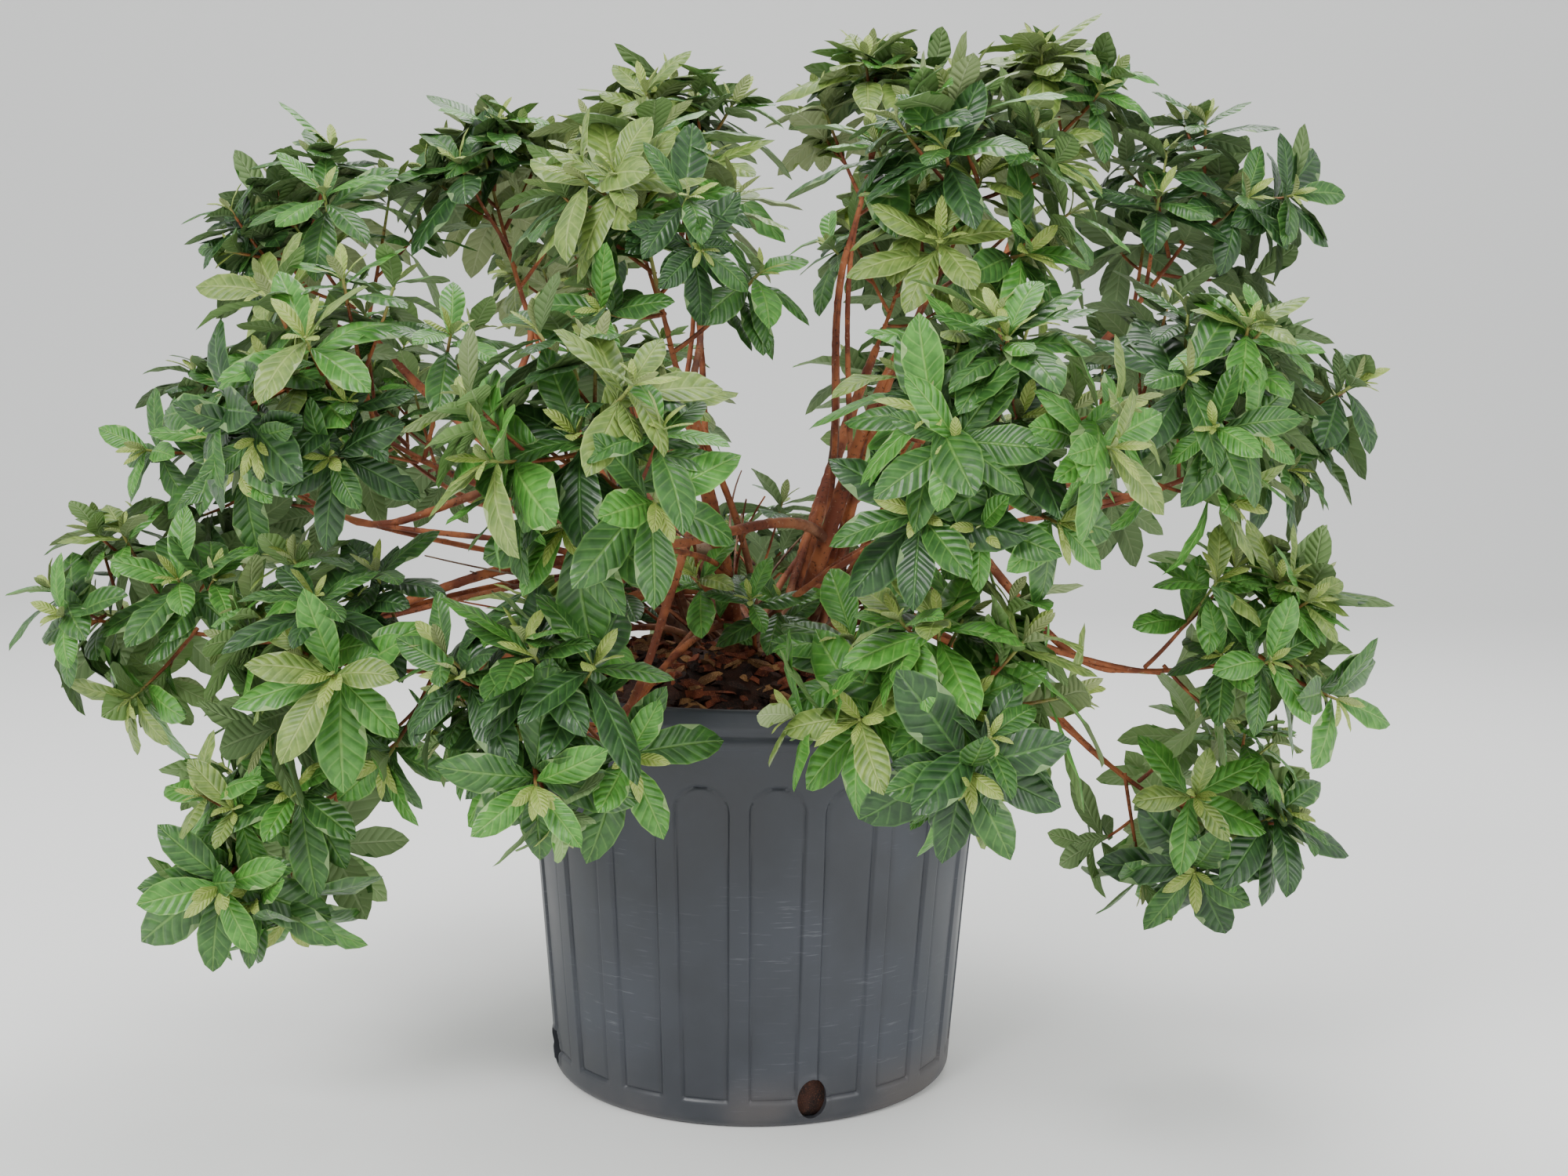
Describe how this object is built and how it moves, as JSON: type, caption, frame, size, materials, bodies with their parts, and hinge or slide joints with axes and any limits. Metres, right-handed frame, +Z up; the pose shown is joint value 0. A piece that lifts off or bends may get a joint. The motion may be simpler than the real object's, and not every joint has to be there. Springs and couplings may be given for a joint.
{
  "type": "potted evergreen azalea shrub",
  "caption": "Rounded evergreen shrub in leaf, with bare stems fanning out of bark mulch in a tapered black nursery pot with arched side panels.",
  "frame": {"origin": "middle of the pot's flat underside, on the surface it stands on", "axes": "+Z up along the pot's axis; +X is the side where the pot's rim sags, the right in the picture; -Y is the front, towards the picture's viewer"},
  "size_m": [0.7801, 0.709, 0.6188],
  "materials": {
    "pot": "moulded black polyethylene, satin, lightly scuffed",
    "soil": "moist red-brown bark mulch",
    "stems": "thin red-brown azalea bark",
    "foliage": "glossy evergreen leaves"
  },
  "bodies": {
    "root": {"bough_crest_1": "stems", "bough_crest_2": "stems", "bough_crest_3": "stems", "bough_crest_4": "stems", "bough_hem_1": "stems", "bough_hem_2": "stems", "bough_shoulder_1": "stems", "bough_shoulder_10": "stems", "bough_shoulder_2": "stems", "bough_shoulder_3": "stems", "bough_shoulder_4": "stems", "bough_shoulder_5": "stems", "bough_shoulder_6": "stems", "bough_shoulder_7": "stems", "bough_shoulder_8": "stems", "bough_shoulder_9": "stems", "bough_skirt_1": "stems", "bough_skirt_2": "stems", "bough_skirt_3": "stems", "bough_skirt_4": "stems", "bough_skirt_5": "stems", "bough_skirt_6": "stems", "foliage_crest_1": "foliage", "foliage_crest_2": "foliage", "foliage_crest_3": "foliage", "foliage_crest_4": "foliage", "foliage_crown_1": "foliage", "foliage_crown_2": "foliage", "foliage_crown_3": "foliage", "foliage_crown_4": "foliage", "foliage_crown_5": "foliage", "foliage_crown_6": "foliage", "foliage_hem_1": "foliage", "foliage_hem_2": "foliage", "foliage_shoulder_1": "foliage", "foliage_shoulder_10": "foliage", "foliage_shoulder_2": "foliage", "foliage_shoulder_3": "foliage", "foliage_shoulder_4": "foliage", "foliage_shoulder_5": "foliage", "foliage_shoulder_6": "foliage", "foliage_shoulder_7": "foliage", "foliage_shoulder_8": "foliage", "foliage_shoulder_9": "foliage", "foliage_skirt_1": "foliage", "foliage_skirt_2": "foliage", "foliage_skirt_3": "foliage", "foliage_skirt_4": "foliage", "foliage_skirt_5": "foliage", "foliage_skirt_6": "foliage", "pot": "pot", "soil": "soil", "stem_crown_1": "stems", "stem_crown_2": "stems", "stem_crown_3": "stems", "stem_crown_4": "stems", "stem_crown_5": "stems", "stem_crown_6": "stems"}
  },
  "joints": []
}
